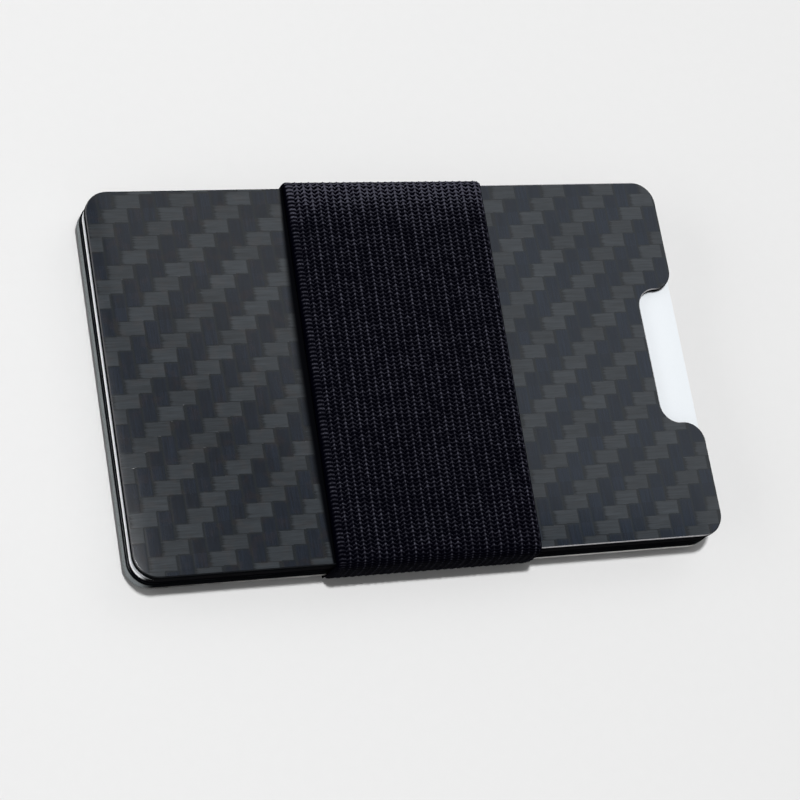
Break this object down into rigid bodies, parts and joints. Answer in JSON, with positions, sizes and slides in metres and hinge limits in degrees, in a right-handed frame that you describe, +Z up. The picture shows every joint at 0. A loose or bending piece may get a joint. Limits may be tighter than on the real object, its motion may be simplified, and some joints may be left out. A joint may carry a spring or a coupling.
{
  "type": "minimalist wallet",
  "caption": "Slim card wallet: two notched carbon-fibre plates hold bank cards between them under a wide loop of black woven elastic.",
  "frame": {"origin": "middle of the base, on the surface that the elastic's back span rests on", "axes": "+X along the plates towards the end with the finger notch, +Y across the plates, +Z up through the thickness from the back plate to the front plate"},
  "size_m": [0.086, 0.0562, 0.0076],
  "materials": {
    "carbon_fibre": "satin 2x2 twill carbon-fibre laminate",
    "woven_elastic": "black ribbed woven elastic",
    "sewing_thread": "black polyester thread",
    "white_card": "plain white satin card",
    "black_card": "plain black satin card"
  },
  "bodies": {
    "back": {"back_plate": "carbon_fibre", "elastic_band": "woven_elastic", "seam_thread_outer": "sewing_thread", "seam_thread_inner": "sewing_thread"},
    "front": {"front_plate": "carbon_fibre"},
    "first_card": {"card_1": "white_card"},
    "second_card": {"card_2": "white_card"},
    "third_card": {"card_3": "black_card"}
  },
  "joints": [
    {"name": "front_lift", "type": "slide", "parent": "back", "child": "front", "axis": [0, 0, 1], "range_m": [0, 0.0071], "stiffness_N_per_m": 1500, "springref_m": -0.004, "deforming": ["elastic_band"]},
    {"name": "card_1_slide", "type": "slide", "parent": "back", "child": "first_card", "axis": [1, 0, 0], "range_m": [-0.082, 0.082]},
    {"name": "card_2_slide", "type": "slide", "parent": "back", "child": "second_card", "axis": [1, 0, 0], "range_m": [-0.082, 0.082]},
    {"name": "card_3_slide", "type": "slide", "parent": "back", "child": "third_card", "axis": [1, 0, 0], "range_m": [-0.082, 0.082]}
  ]
}
